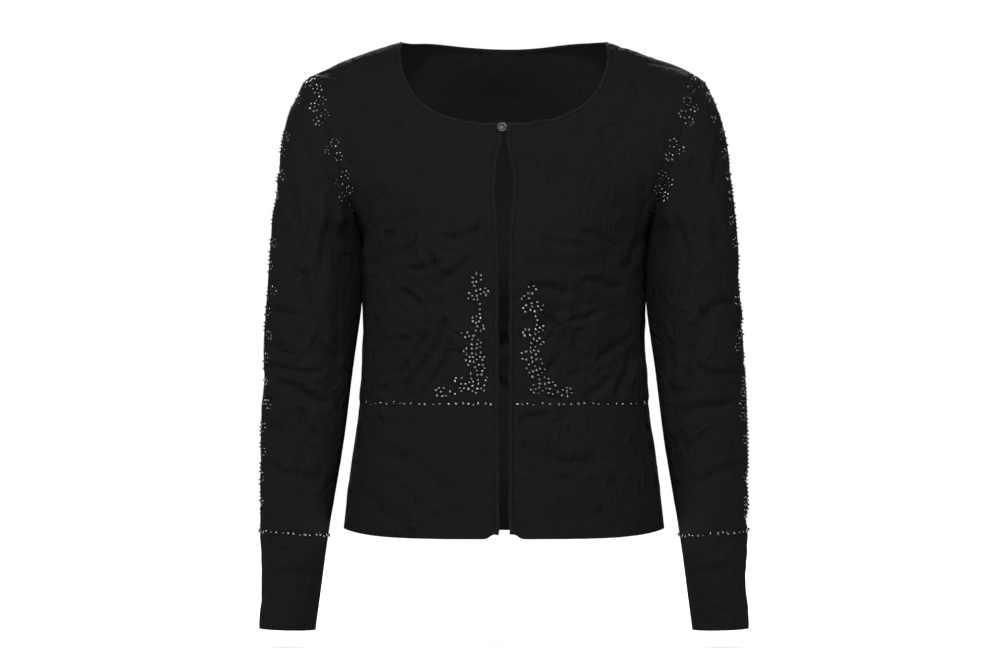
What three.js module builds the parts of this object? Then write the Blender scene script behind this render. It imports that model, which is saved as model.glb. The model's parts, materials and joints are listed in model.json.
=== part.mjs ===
// A cropped, round-necked women's cardigan of fine black jersey, filled out as on a general figure.
// Millimetres, +Z up. The front faces -Y. The origin lies midway between the shoulders, at the height
// of the neck ends of the shoulder line, which is where whoever wears the cardigan holds it up.
import * as THREE from "three";
import { mergeGeometries, mergeVertices } from "three/addons/utils/BufferGeometryUtils.js";

// Driving dimensions
const CLOTH = 1.2;
const SEAM_GAP = 0.3;
const WAIST_SEAM_Z = -387;
const HEM_FRONT_Z = -527;
const HEM_BACK_Z = -527;
const HEM_SIDE_Z = -519.5;
const UNDERARM = { x: 153, y: 2, z: -203 };
const SHOULDER_TIP = { x: 208, y: 2, z: -37.5 };
const ARMHOLE_HALF_DEPTH = 58;
const FRONT_NECK = { half: 115.5, drop: 96.5, squareness: 2.45 };
const BACK_NECK = { half: 112.5, ridgeY: 4, ridgeZ: -1, y: 61, z: -8, roundness: 2.2 };
const SHOULDER_SEAM_NECK_Z = -15;
const NECK_BINDING_WIDE = 4;
const EDGE_BAND_WIDE = 5;
const HEM_GAP_HALF = 5;
const HEM_CORNER = { rise: 5.5, wide: 7 };
const KEYHOLE = { middleZ: -158, halfHeight: 52, extraHalf: 4 };
const NECK_GAP_HALF = 1.2;
const BUST = { x: 84, z: -192, spread: 52, full: 7 };
const CUFF_SEAM_AT = 0.83;
const BUTTON = { x: -2.2, z: -95.2, radius: 5, shank: 1.1, shankTop: 2.3, rim: 3.4, dome: 4.6 };
const LOOP = { thread: 0.5, out: 1.45, turn: 2, end: 9 };

// The torso by height: half the width at the side seam, and how far the centre front and the centre
// back stand out. Above the neck points it goes on as if the neck were filled in.
const TORSO = [
  { z: -535, half: 173.5, front: 122, back: 120 },
  { z: -455, half: 164, front: 114, back: 106 },
  { z: -387, half: 154.5, front: 108, back: 95 },
  { z: -325, half: 150.8, front: 114, back: 92 },
  { z: -285, half: 151.6, front: 119.5, back: 95 },
  { z: -235, half: 152.4, front: 125, back: 102.2 },
  { z: -203, half: 153, front: 124, back: 107 },
  { z: -150, half: 170, front: 108, back: 109 },
  { z: -97, half: 155, front: 83, back: 101 },
  { z: -50, half: 155, front: 58, back: 84 },
  { z: -8, half: 155, front: 28, back: 61 },
  { z: 0, half: 155, front: 22, back: 54 },
];

// Where on the armhole (0 underarm, 1 shoulder tip) the row that reaches the neck point ends.
const NECK_ROW_ON_ARMHOLE = { front: 0.58, back: 0.74 };
const SECTION_SQUARENESS = 2.2;

// The sleeve's rings from the armhole to the cuff's end: the outermost and innermost points in the
// front view, half the depth and the middle of the depth.
const SLEEVE = [
  { at: 0, outX: 208.29, outZ: -37.6, inX: 153.29, inZ: -203.1, deep: 58, y: 2 },
  { at: 0.02, outX: 213.8, outZ: -44.5, inX: 153.4, inZ: -206, deep: 58.8, y: 1.5 },
  { at: 0.05, outX: 221, outZ: -58, inX: 153.2, inZ: -211, deep: 60, y: 0.5 },
  { at: 0.11, outX: 231.5, outZ: -85, inX: 153, inZ: -221, deep: 61, y: -2 },
  { at: 0.19, outX: 239.8, outZ: -127, inX: 152.8, inZ: -237, deep: 61, y: -6 },
  { at: 0.28, outX: 245.5, outZ: -180, inX: 152.6, inZ: -258, deep: 60, y: -9.5 },
  { at: 0.37, outX: 249.8, outZ: -237, inX: 153, inZ: -284, deep: 57, y: -12.5 },
  { at: 0.46, outX: 253.5, outZ: -292, inX: 156, inZ: -314, deep: 54, y: -15 },
  { at: 0.56, outX: 256.3, outZ: -352, inX: 162, inZ: -358, deep: 50.5, y: -18 },
  { at: 0.68, outX: 258.3, outZ: -425, inX: 171, inZ: -430, deep: 46, y: -22 },
  { at: 0.83, outX: 259.3, outZ: -521, inX: 186.8, inZ: -526, deep: 37.5, y: -28 },
  { at: 0.91, outX: 258.2, outZ: -573, inX: 193.5, inZ: -577, deep: 34, y: -31 },
  { at: 1, outX: 260.2, outZ: -625, inX: 200, inZ: -626.5, deep: 32.5, y: -35 },
];

// The largest folds, as soft troughs between two points of the front view, on the front (face -1) or
// the back (face 1) of the pieces.
const FOLDS = [
  { face: -1, fromX: 28, fromZ: -238, toX: 72, toZ: -245, wide: 12, deep: 2 },
  { face: -1, fromX: 72, fromZ: -245, toX: 108, toZ: -232, wide: 12, deep: 2 },
  { face: -1, fromX: 66, fromZ: -322, toX: 92, toZ: -374, wide: 12, deep: 2.2 },
  { face: -1, fromX: 100, fromZ: -312, toX: 128, toZ: -290, wide: 12, deep: 2 },
  { face: -1, fromX: -54, fromZ: -252, toX: -70, toZ: -290, wide: 12, deep: 2 },
  { face: -1, fromX: -46, fromZ: -330, toX: -68, toZ: -364, wide: 12, deep: 2 },
  { face: -1, fromX: -112, fromZ: -230, toX: -78, toZ: -218, wide: 12, deep: 1.8 },
  { face: -1, fromX: -134, fromZ: -276, toX: -137, toZ: -330, wide: 12, deep: 2 },
  { face: -1, fromX: 90, fromZ: -452, toX: 158, toZ: -482, wide: 13, deep: 1.6 },
  { face: -1, fromX: -216, fromZ: -250, toX: -196, toZ: -304, wide: 14, deep: 4.2 },
  { face: -1, fromX: -196, fromZ: -304, toX: -170, toZ: -356, wide: 14, deep: 4.2 },
  { face: -1, fromX: 216, fromZ: -296, toX: 200, toZ: -330, wide: 14, deep: 3.6 },
  { face: -1, fromX: 200, fromZ: -330, toX: 182, toZ: -376, wide: 14, deep: 4.2 },
  { face: -1, fromX: -252, fromZ: -326, toX: -208, toZ: -336, wide: 13, deep: 2.6 },
  { face: -1, fromX: -242, fromZ: -410, toX: -214, toZ: -446, wide: 13, deep: 2.6 },
  { face: -1, fromX: 212, fromZ: -420, toX: 222, toZ: -446, wide: 13, deep: 2.6 },
  { face: 1, fromX: 60, fromZ: -300, toX: 120, toZ: -330, wide: 16, deep: 2.4 },
  { face: 1, fromX: -60, fromZ: -310, toX: -118, toZ: -290, wide: 16, deep: 2.4 },
  { face: 1, fromX: -200, fromZ: -300, toX: -232, toZ: -350, wide: 15, deep: 3.6 },
  { face: 1, fromX: 204, fromZ: -310, toX: 236, toZ: -340, wide: 15, deep: 3.6 },
];

// Grid steps of each wall
const STEPS = {
  across: 13,
  bandUp: 6,
  waistToUnderarm: 9,
  underarmToNeck: 7,
  frontNeckToShoulder: 8,
  backNeckToShoulder: 11,
  sleeveRound: 28,
  sleeveAlong: 22,
  cuffAlong: 5,
};

const point = (x, y, z) => new THREE.Vector3(x, y, z);
const between = (a, b, t) => a + (b - a) * t;
const evenly = (from, to, steps) =>
  Array.from({ length: steps + 1 }, (_, i) => between(from, to, i / steps));
const smoothStep = (t) => {
  const c = Math.min(Math.max(t, 0), 1);
  return c * c * (3 - 2 * c);
};

// The value of one column of a table at a place along its key column, on a smooth curve.
function smoothly(table, key, column, place) {
  const last = table.length - 1;
  let i = 0;
  while (i < last - 1 && place > table[i + 1][key]) i += 1;
  const slopeAt = (k) => {
    const a = table[Math.max(k - 1, 0)];
    const b = table[Math.min(k + 1, last)];
    return (b[column] - a[column]) / (b[key] - a[key]);
  };
  const step = table[i + 1][key] - table[i][key];
  const t = (place - table[i][key]) / step;
  const t2 = t * t;
  const t3 = t2 * t;
  return (
    (2 * t3 - 3 * t2 + 1) * table[i][column] +
    (t3 - 2 * t2 + t) * step * slopeAt(i) +
    (3 * t2 - 2 * t3) * table[i + 1][column] +
    (t3 - t2) * step * slopeAt(i + 1)
  );
}

// Half the gap between the two fronts: nearly closed at the button, bowed below it, then even.
function openingHalf(z) {
  const bow = Math.max(0, 1 - ((z - KEYHOLE.middleZ) / KEYHOLE.halfHeight) ** 2);
  const opened = smoothStep((-FRONT_NECK.drop - z) / 45);
  return between(NECK_GAP_HALF, HEM_GAP_HALF, opened) + KEYHOLE.extraHalf * bow * bow;
}

const frontEdgeX = (z) => openingHalf(z) + EDGE_BAND_WIDE + SEAM_GAP;

// The front neckline seen from the front, from the neck point (0) to the shoulder seam (1).
function frontNeck(t) {
  const power = 2 / FRONT_NECK.squareness;
  const rise = -SHOULDER_SEAM_NECK_Z / FRONT_NECK.drop;
  const angle = Math.acos(Math.pow(rise, 1 / power)) * t;
  const start = frontEdgeX(-FRONT_NECK.drop);
  const wide = (FRONT_NECK.half - start) * Math.pow(Math.sin(angle), power);
  return { x: start + wide, z: -FRONT_NECK.drop * Math.pow(Math.cos(angle), power) };
}

// The back neckline from the centre back (0) to the shoulder line (0.8) and the shoulder seam (1).
const RIDGE_AT = 0.8;
function backNeck(t) {
  if (t <= RIDGE_AT) {
    const angle = ((t / RIDGE_AT) * Math.PI) / 2;
    const power = 2 / BACK_NECK.roundness;
    const back = Math.pow(Math.cos(angle), power);
    return point(
      BACK_NECK.half * Math.pow(Math.sin(angle), power),
      between(BACK_NECK.ridgeY, BACK_NECK.y, back),
      between(BACK_NECK.ridgeZ, BACK_NECK.z, back * back),
    );
  }
  const over = (t - RIDGE_AT) / (1 - RIDGE_AT);
  const seam = shoulderSeamNeckEnd();
  return point(
    between(BACK_NECK.half, seam.x, over),
    between(BACK_NECK.ridgeY, seam.y, over),
    between(BACK_NECK.ridgeZ, seam.z, Math.pow(over, 1.6)),
  );
}

const shoulderSeamNeckEnd = () => torsoAt(rowOf(4, -1), frontNeck(1).x);

// A point of the armhole, from the underarm (0) round the front or back to the shoulder tip (1).
function armhole(t, face) {
  const rise = (1 - Math.cos(Math.PI * t)) / 2;
  return point(
    between(UNDERARM.x, SHOULDER_TIP.x, rise),
    between(UNDERARM.y, SHOULDER_TIP.y, rise) + face * ARMHOLE_HALF_DEPTH * Math.sin(Math.PI * t),
    between(UNDERARM.z, SHOULDER_TIP.z, rise),
  );
}

// How much of a row's turn is left at the armhole: 0 where it turns right round to the side. Low on
// the armhole the row goes on the body's own rounding, and higher up the shoulder flattens it.
function leftAtArmhole(t, out, depth) {
  if (t >= 0.5) return 0.62 + 0.36 * (t - 0.5);
  const round = (out.y - UNDERARM.y) / (depth - UNDERARM.y);
  return between(round, 0.62 * Math.sin(Math.PI * t), smoothStep(2 * t));
}

// A row of the torso at a level: 0 hem, 1 waist seam, 2 underarm, 3 neck point, 4 shoulder seam.
// It runs out from the centre: depth and z there, and the place of its outer end. bend says how late
// it leaves its height at the centre, and corner how far a front's hem lifts at the opening.
function rowOf(level, face) {
  const front = face < 0;
  const column = front ? "front" : "back";
  const depthAt = (z) => face * smoothly(TORSO, "z", column, z);
  const topZ = front ? -FRONT_NECK.drop : BACK_NECK.z;
  if (level <= 2) {
    const hemZ = front ? HEM_FRONT_Z : HEM_BACK_Z;
    const low = level <= 1;
    const z = low ? between(hemZ, WAIST_SEAM_Z, level) : between(WAIST_SEAM_Z, UNDERARM.z, level - 1);
    const outZ = low ? between(HEM_SIDE_Z, WAIST_SEAM_Z, level) : z;
    const out = point(smoothly(TORSO, "z", "half", outZ), UNDERARM.y, outZ);
    const inX = front ? frontEdgeX(z) : 0;
    const corner = front && low ? HEM_CORNER.rise * (1 - level) ** 8 : 0;
    return { depth: depthAt(z), z, out, left: 0, inX, bend: low ? 6 : 2, corner };
  }
  const neckRow = NECK_ROW_ON_ARMHOLE[column];
  if (level <= 3) {
    const around = neckRow * (level - 2);
    const z = between(UNDERARM.z, topZ, (1 - Math.cos(Math.PI * (level - 2))) / 2);
    const inX = front ? frontEdgeX(z) : 0;
    const out = armhole(around, face);
    const depth = depthAt(z);
    return { depth, z, out, left: leftAtArmhole(around, out, depth), inX };
  }
  const around = between(neckRow, 1, level - 3);
  const row = { out: armhole(around, face), left: leftAtArmhole(around) };
  const neck = front ? frontNeck(level - 3) : backNeck(level - 3);
  const share = (neck.x / row.out.x) ** 2;
  row.inX = neck.x;
  row.z = (neck.z - row.out.z * share) / (1 - share);
  if (front) {
    row.depth = depthAt(row.z);
  } else {
    const turned = turnAt(row, neck.x).height;
    row.depth = row.out.y + (neck.y - row.out.y) / turned;
  }
  return row;
}

// How far round a row is at x, and the share of its depth there.
function turnAt(row, x) {
  const n = SECTION_SQUARENESS;
  const reach = Math.pow(1 - Math.pow(row.left, n), 1 / n);
  const angle = Math.asin(Math.min(Math.pow((reach * x) / row.out.x, n / 2), 1));
  return { angle, height: (Math.pow(Math.cos(angle), 2 / n) - row.left) / (1 - row.left) };
}

function torsoAt(row, x) {
  const y = row.out.y + (row.depth - row.out.y) * turnAt(row, x).height;
  const beyond = (x - row.inX) / HEM_CORNER.wide;
  const corner = (row.corner ?? 0) * Math.exp(-beyond * beyond);
  const z = row.z + (row.out.z - row.z) * (x / row.out.x) ** (row.bend ?? 2) + corner;
  const away = Math.hypot(x - BUST.x, z - BUST.z) / BUST.spread;
  const full = row.depth < 0 ? BUST.full * Math.exp(-away * away) * (1 - x / row.out.x) * 2 : 0;
  return point(x, y - full, z);
}

// A point of the torso's form, u from the inner (0) to the outer edge (1), on the half at +X.
function torsoPoint(u, level, face) {
  const row = rowOf(level, face);
  const n = SECTION_SQUARENESS;
  const reach = Math.pow(1 - Math.pow(row.left, n), 1 / n);
  const from = turnAt(row, row.inX).angle;
  const to = turnAt(row, row.out.x).angle;
  const x = (row.out.x * Math.pow(Math.sin(between(from, to, u)), 2 / n)) / reach;
  return torsoAt(row, x);
}

// A point of the sleeve's form: turn 0 is the underarm line, 0.25 the front, 0.5 the outer side.
function sleevePoint(turn, at) {
  const value = (column) => smoothly(SLEEVE, "at", column, at);
  const angle = 2 * Math.PI * turn;
  const rise = (1 - Math.cos(angle)) / 2;
  return point(
    between(value("inX"), value("outX"), rise),
    value("y") - value("deep") * Math.sin(angle),
    between(value("inZ"), value("outZ"), rise),
  );
}

// The outward normal of a form, on the half at +X.
function normalOf(form, u, v) {
  const d = 1e-3;
  const low = form.at(form.round ? u - d : Math.max(u - d, 0), v);
  const high = form.at(form.round ? u + d : Math.min(u + d, 1), v);
  const under = form.at(u, Math.max(v - d, form.low));
  const over = form.at(u, Math.min(v + d, form.high));
  return high.sub(low).cross(over.sub(under)).multiplyScalar(form.outward).normalize();
}

const FRONT = { at: (u, v) => torsoPoint(u, v, -1), outward: 1, low: 0, high: 4, face: -1 };
const BACK = { at: (u, v) => torsoPoint(u, v, 1), outward: -1, low: 0, high: 4, face: 1 };
const SLEEVE_FORM = { at: sleevePoint, outward: -1, low: 0, high: 1, round: true };

// The normals of the other pieces where a place on a form is on a seam that they share.
function neighbours(form, u, v) {
  if (form.round) {
    if (v > 0) return [];
    const turn = ((u % 1) + 1) % 1;
    const face = turn <= 0.5 ? -1 : 1;
    const around = face < 0 ? turn * 2 : (1 - turn) * 2;
    const neckRow = NECK_ROW_ON_ARMHOLE[face < 0 ? "front" : "back"];
    const level = around < neckRow ? 2 + around / neckRow : 3 + (around - neckRow) / (1 - neckRow);
    return [normalOf(face < 0 ? FRONT : BACK, 1, level)];
  }
  const found = [];
  if (u > OUTER_U - 1e-9 && v > 2) {
    const neckRow = NECK_ROW_ON_ARMHOLE[form.face < 0 ? "front" : "back"];
    const around = v < 3 ? neckRow * (v - 2) : between(neckRow, 1, v - 3);
    const turn = form.face < 0 ? around / 2 : 1 - around / 2;
    found.push(normalOf(SLEEVE_FORM, turn, 0));
  }
  if (v > SHOULDER_TOP - 1e-9) found.push(normalOf(form.face < 0 ? BACK : FRONT, u, 4));
  return found;
}

// How deep the folds are at a point whose outward normal is given.
function foldDepth(p, normal) {
  let depth = 0;
  for (const fold of FOLDS) {
    const facing = smoothStep(fold.face * normal.y * 1.6);
    if (facing === 0) continue;
    const runX = fold.toX - fold.fromX;
    const runZ = fold.toZ - fold.fromZ;
    const length = Math.hypot(runX, runZ);
    const along = ((p.x - fold.fromX) * runX + (p.z - fold.fromZ) * runZ) / length ** 2;
    const clamped = Math.min(Math.max(along, 0), 1);
    const away = Math.hypot(
      p.x - fold.fromX - clamped * runX,
      p.z - fold.fromZ - clamped * runZ,
    );
    depth = Math.max(depth, facing * fold.deep * Math.exp(-((away / fold.wide) ** 2)));
  }
  return depth;
}

// The outer and inner points of a wall of cloth at a place on a form, on the half at side.
function wallPoints(form, u, v, side, flatInX) {
  const normal = normalOf(form, u, v);
  const inward = normal.clone();
  for (const other of neighbours(form, u, v)) {
    inward.addScaledVector(other, smoothStep(2 * other.dot(normal)));
  }
  inward.normalize();
  for (const n of [normal, inward]) {
    n.x *= flatInX ? 0 : side;
    n.normalize();
  }
  const outer = form.at(u, v);
  outer.x *= side;
  outer.addScaledVector(normal, -foldDepth(outer, normal));
  return [outer, outer.clone().addScaledVector(inward, -CLOTH)];
}

// Triangles of a quadrilateral, turned round on mirrored walls.
function quad(list, a, b, c, d, turned) {
  const corners = turned ? [a, d, c, b] : [a, b, c, d];
  for (const k of [0, 1, 2, 0, 2, 3]) list.push(...corners[k].toArray());
}

function geometryOf(list) {
  const geometry = new THREE.BufferGeometry();
  geometry.setAttribute("position", new THREE.Float32BufferAttribute(list, 3));
  return mergeVertices(geometry, 1e-3);
}

// A closed wall over the places us by vs of a form. Up to the level openFrom its inner edge is on the
// centre line, where the other half joins it.
function wall(form, us, vs, side = 1, openFrom = -Infinity) {
  const turns = form.round ? us.slice(0, -1) : us;
  const grid = vs.map((v) =>
    turns.map((u, i) => wallPoints(form, u, v, side, i === 0 && v <= openFrom)),
  );
  if (form.round) grid.forEach((ring) => ring.push(ring[0]));
  const turned = side * form.outward < 0;
  const list = [];
  const columns = us.length - 1;
  const rows = vs.length - 1;
  for (let j = 0; j < rows; j += 1) {
    for (let i = 0; i < columns; i += 1) {
      const [a, b, c, d] = [grid[j][i], grid[j][i + 1], grid[j + 1][i + 1], grid[j + 1][i]];
      quad(list, a[0], b[0], c[0], d[0], turned);
      quad(list, d[1], c[1], b[1], a[1], turned);
    }
    if (form.round) continue;
    const [a, b] = [grid[j][columns], grid[j + 1][columns]];
    quad(list, a[0], a[1], b[1], b[0], turned);
    if (vs[j] < openFrom) continue;
    const [c, d] = [grid[j][0], grid[j + 1][0]];
    quad(list, d[0], d[1], c[1], c[0], turned);
  }
  for (let i = 0; i < columns; i += 1) {
    const [a, b] = [grid[0][i], grid[0][i + 1]];
    quad(list, a[0], a[1], b[1], b[0], turned);
    const [c, d] = [grid[rows][i], grid[rows][i + 1]];
    quad(list, d[0], d[1], c[1], c[0], turned);
  }
  return geometryOf(list);
}

const SEAM_HALF = SEAM_GAP / 2;
const BAND_TOP = 1 - SEAM_HALF / (WAIST_SEAM_Z - HEM_FRONT_Z);
const UPPER_BOTTOM = 1 + SEAM_HALF / (UNDERARM.z - WAIST_SEAM_Z);
const SHOULDER_TOP = 4 - SEAM_HALF / 100;
const OUTER_U = 1 - SEAM_HALF / 180;
const ACROSS = evenly(0, OUTER_U, STEPS.across);
const BAND_LEVELS = evenly(0, BAND_TOP, STEPS.bandUp);

const upperLevels = (neckToShoulder) => [
  ...evenly(UPPER_BOTTOM, 2, STEPS.waistToUnderarm),
  ...evenly(2, 3, STEPS.underarmToNeck).slice(1),
  ...evenly(3, SHOULDER_TOP, neckToShoulder).slice(1),
];

// Both halves of a back panel, welded down the centre below the neck.
function backPanel(levels, openFrom) {
  const halves = [1, -1].map((side) => wall(BACK, ACROSS, levels, side, openFrom));
  return mergeVertices(mergeGeometries(halves), 1e-3);
}

function sleeveWall(side, from, to, along) {
  return wall(SLEEVE_FORM, evenly(0, 1, STEPS.sleeveRound), evenly(from, to, along), side);
}

// A bar with rounded ends to its section, swept along stations. Each station has a place, the
// direction across the bar and the one out of the cloth; the profile is [across, out] all round.
function sweep(stations, profile, turned) {
  const rings = stations.map(({ place, across, out }) =>
    profile.map(([w, h]) => place.clone().addScaledVector(across, w).addScaledVector(out, h)),
  );
  const list = [];
  const n = profile.length;
  for (let j = 0; j + 1 < rings.length; j += 1) {
    for (let i = 0; i < n; i += 1) {
      const k = (i + 1) % n;
      quad(list, rings[j][i], rings[j][k], rings[j + 1][k], rings[j + 1][i], turned);
    }
  }
  const first = turned ? rings[0] : [...rings[0]].reverse();
  const last = turned ? [...rings[rings.length - 1]].reverse() : rings[rings.length - 1];
  for (const cap of [first, last]) {
    for (let i = 1; i + 1 < n; i += 1) {
      for (const corner of [cap[0], cap[i], cap[i + 1]]) list.push(...corner.toArray());
    }
  }
  return geometryOf(list);
}

// Stations along places that lie on edges of the cloth, with the direction away from the cloth.
function stationsAlong(edge, side = 1) {
  return edge.map(({ place, away }, i) => {
    const before = edge[Math.max(i - 1, 0)].place;
    const after = edge[Math.min(i + 1, edge.length - 1)].place;
    const run = after.clone().sub(before).normalize();
    const across = away.clone().addScaledVector(run, -away.dot(run)).normalize();
    return { place, across, out: run.cross(across).normalize().multiplyScalar(side) };
  });
}

// A place on the inner edge of a panel and the direction away from its cloth.
function innerEdge(level, face, side) {
  const row = rowOf(level, face);
  const place = torsoAt(row, row.inX);
  const away = torsoAt(row, row.inX - (row.inX > 1 ? 1 : 0)).sub(torsoAt(row, row.inX + 1));
  place.x *= side;
  away.x *= side;
  return { place, away };
}

const bindingProfile = (wide, gap) => [
  [gap, -1.5],
  [gap, 0.2],
  [gap + 0.7, 0.5],
  [gap + wide - 0.9, 0.5],
  [gap + wide, -0.1],
  [gap + wide, -1.1],
  [gap + wide - 0.9, -1.7],
  [gap + 0.7, -1.7],
];

// The neckline's edge on one half, from the front opening to the centre back.
function halfNeckEdge(side) {
  const topRow = rowOf(3, -1);
  const upward = point(0, 0.45, 1);
  const edge = evenly(NECK_GAP_HALF, topRow.inX - 1, 2).map((x) => {
    const place = torsoAt(topRow, x);
    place.x *= side;
    return { place, away: upward };
  });
  const frontLevels = evenly(3, 4, STEPS.frontNeckToShoulder).slice(1);
  const backLevels = evenly(4, 3, STEPS.backNeckToShoulder).slice(1, -1);
  for (const level of frontLevels) edge.push(neckPlace(level, -1, side));
  for (const level of backLevels) edge.push(neckPlace(level, 1, side));
  return edge;
}

// A place on the neckline, with the direction away from the cloth: the rows run away from it.
function neckPlace(level, face, side) {
  const d = 1e-3;
  const row = rowOf(level, face);
  const place = torsoAt(row, row.inX);
  const inside = torsoPoint(0.02, Math.max(level - 4 * d, 3), face);
  const away = place.clone().sub(inside);
  place.x *= side;
  away.x *= side;
  return { place, away };
}

function neckBinding() {
  const left = halfNeckEdge(1);
  const right = halfNeckEdge(-1).reverse();
  const row = rowOf(3, 1);
  const middle = { place: torsoAt(row, 0), away: point(0, -0.5, 1) };
  const stations = stationsAlong([...left, middle, ...right]);
  return sweep(stations, bindingProfile(NECK_BINDING_WIDE, SEAM_GAP), true);
}

function edgeBand(side) {
  const levels = [
    ...BAND_LEVELS,
    ...upperLevels(1).filter((level) => level < 2.99),
    2.995,
  ];
  const edge = levels.map((level) => innerEdge(level, -1, side));
  return sweep(stationsAlong(edge, side), bindingProfile(EDGE_BAND_WIDE, SEAM_GAP), side > 0);
}

// The frame of the button: its place on the cloth's line and the directions there.
function buttonFrame() {
  const row = rowOf(3, -1);
  const out = normalOf(FRONT, 0, 3);
  out.x = 0;
  out.normalize();
  const up = point(1, 0, 0).cross(out).multiplyScalar(-1).normalize();
  const place = torsoAt(row, 0);
  place.x = BUTTON.x;
  place.addScaledVector(up, (BUTTON.z - place.z) / up.z);
  return { place, out, up };
}

function button() {
  const { place, out } = buttonFrame();
  const r = BUTTON.radius;
  const outline = [
    [0, 0.9],
    [BUTTON.shank, 0.9],
    [BUTTON.shank, BUTTON.shankTop],
    [r * 0.8, BUTTON.shankTop],
    [r, BUTTON.rim - 0.5],
    [r, BUTTON.rim],
    [r * 0.9, BUTTON.rim + 0.35],
    [r * 0.78, BUTTON.rim + 0.1],
    [r * 0.62, BUTTON.rim + 0.6],
    [r * 0.35, BUTTON.dome - 0.15],
    [0, BUTTON.dome],
  ].map(([x, y]) => new THREE.Vector2(x, y));
  const geometry = new THREE.LatheGeometry(outline, 20);
  geometry.deleteAttribute("uv");
  geometry.deleteAttribute("normal");
  geometry.applyQuaternion(new THREE.Quaternion().setFromUnitVectors(point(0, 1, 0), out));
  geometry.translate(place.x, place.y, place.z);
  return tidy(geometry);
}

// The same geometry with its equal points merged and its flat triangles left out.
function tidy(geometry) {
  const merged = mergeVertices(geometry, 1e-3);
  const index = merged.getIndex().array;
  const kept = [];
  for (let i = 0; i < index.length; i += 3) {
    const [a, b, c] = [index[i], index[i + 1], index[i + 2]];
    if (a !== b && b !== c && c !== a) kept.push(a, b, c);
  }
  merged.setIndex(kept);
  return merged;
}

// A thread that leaves one front's binding, goes round the button's shank and comes back.
function buttonLoop() {
  const { place, out, up } = buttonFrame();
  const across = point(1, 0, 0);
  const centre = place.clone().addScaledVector(out, LOOP.out);
  const line = [];
  for (const x of evenly(LOOP.end, 1, 3)) line.push([x, LOOP.turn]);
  for (const turn of evenly(0.5, 1.5, 8)) {
    line.push([LOOP.turn * Math.cos(Math.PI * turn), LOOP.turn * Math.sin(Math.PI * turn)]);
  }
  for (const x of evenly(1, LOOP.end, 3)) line.push([x, -LOOP.turn]);
  const places = line.map(([x, z]) =>
    centre.clone().addScaledVector(across, x).addScaledVector(up, z),
  );
  const stations = places.map((at, i) => {
    const before = places[Math.max(i - 1, 0)];
    const after = places[Math.min(i + 1, places.length - 1)];
    const run = after.clone().sub(before).normalize();
    return { place: at, across: out.clone().cross(run).normalize(), out };
  });
  const round = evenly(0, 7 / 8, 7).map((t) => [
    LOOP.thread * Math.cos(2 * Math.PI * t),
    LOOP.thread * Math.sin(2 * Math.PI * t),
  ]);
  return sweep(stations, round, false);
}

const FABRIC = { color: 0x17171a, roughness: 0.95, metalness: 0 };
const BINDING = { color: 0x1b1b1e, roughness: 0.9, metalness: 0 };
const JET = { color: 0x2a2a2e, roughness: 0.25, metalness: 0.3 };

function piece(name, geometry, finish) {
  const mesh = new THREE.Mesh(geometry, new THREE.MeshStandardMaterial(finish));
  mesh.name = name;
  return mesh;
}

const cardigan = new THREE.Group();
const SIDES = [
  ["left", 1],
  ["right", -1],
];
for (const [word, side] of SIDES) {
  const parts = [
    ["front", wall(FRONT, ACROSS, upperLevels(STEPS.frontNeckToShoulder), side), FABRIC],
    ["front_band", wall(FRONT, ACROSS, BAND_LEVELS, side), FABRIC],
    ["sleeve", sleeveWall(side, 0, CUFF_SEAM_AT - 0.0003, STEPS.sleeveAlong), FABRIC],
    ["cuff", sleeveWall(side, CUFF_SEAM_AT + 0.0003, 1, STEPS.cuffAlong), FABRIC],
    ["edge_band", edgeBand(side), BINDING],
  ];
  for (const [name, geometry, finish] of parts) {
    cardigan.add(piece(`${name}_${word}`, geometry, finish));
  }
}
cardigan.add(piece("back", backPanel(upperLevels(STEPS.backNeckToShoulder), 3), FABRIC));
cardigan.add(piece("back_band", backPanel(BAND_LEVELS, Infinity), FABRIC));
cardigan.add(piece("neck_binding", neckBinding(), BINDING));
cardigan.add(piece("button", button(), JET));
cardigan.add(piece("button_loop", buttonLoop(), BINDING));

export default cardigan;
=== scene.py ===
# A cropped black jersey cardigan with a round neck, filled out as on a general figure.
# Lengths in the tables are millimetres in the object's frame: X to the wearer's left, Y back, Z up.
import json
import math
import random

import bmesh
import bpy
import numpy as np
from mathutils import Matrix, Vector, noise
from mathutils.bvhtree import BVHTree

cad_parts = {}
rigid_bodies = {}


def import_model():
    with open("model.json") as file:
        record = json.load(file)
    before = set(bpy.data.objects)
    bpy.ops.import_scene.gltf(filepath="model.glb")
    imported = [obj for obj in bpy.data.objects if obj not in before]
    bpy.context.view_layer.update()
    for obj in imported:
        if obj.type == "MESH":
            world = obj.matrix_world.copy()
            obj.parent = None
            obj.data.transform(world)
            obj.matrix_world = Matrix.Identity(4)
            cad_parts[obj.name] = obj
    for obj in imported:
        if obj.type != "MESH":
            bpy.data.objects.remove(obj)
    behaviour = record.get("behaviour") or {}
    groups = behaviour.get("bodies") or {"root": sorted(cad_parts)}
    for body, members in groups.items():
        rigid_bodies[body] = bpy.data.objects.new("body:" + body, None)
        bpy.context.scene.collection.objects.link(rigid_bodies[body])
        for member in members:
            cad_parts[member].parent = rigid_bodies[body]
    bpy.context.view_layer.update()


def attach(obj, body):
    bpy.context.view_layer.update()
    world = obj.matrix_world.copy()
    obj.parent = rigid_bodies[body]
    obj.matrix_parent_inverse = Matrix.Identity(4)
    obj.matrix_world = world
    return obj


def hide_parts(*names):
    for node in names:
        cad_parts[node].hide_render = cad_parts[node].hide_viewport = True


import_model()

MM = 0.001

# Without a seed the vector noise would start from the clock.
NOISE_SEED = 1795815996
noise.seed_set(NOISE_SEED)

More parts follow.
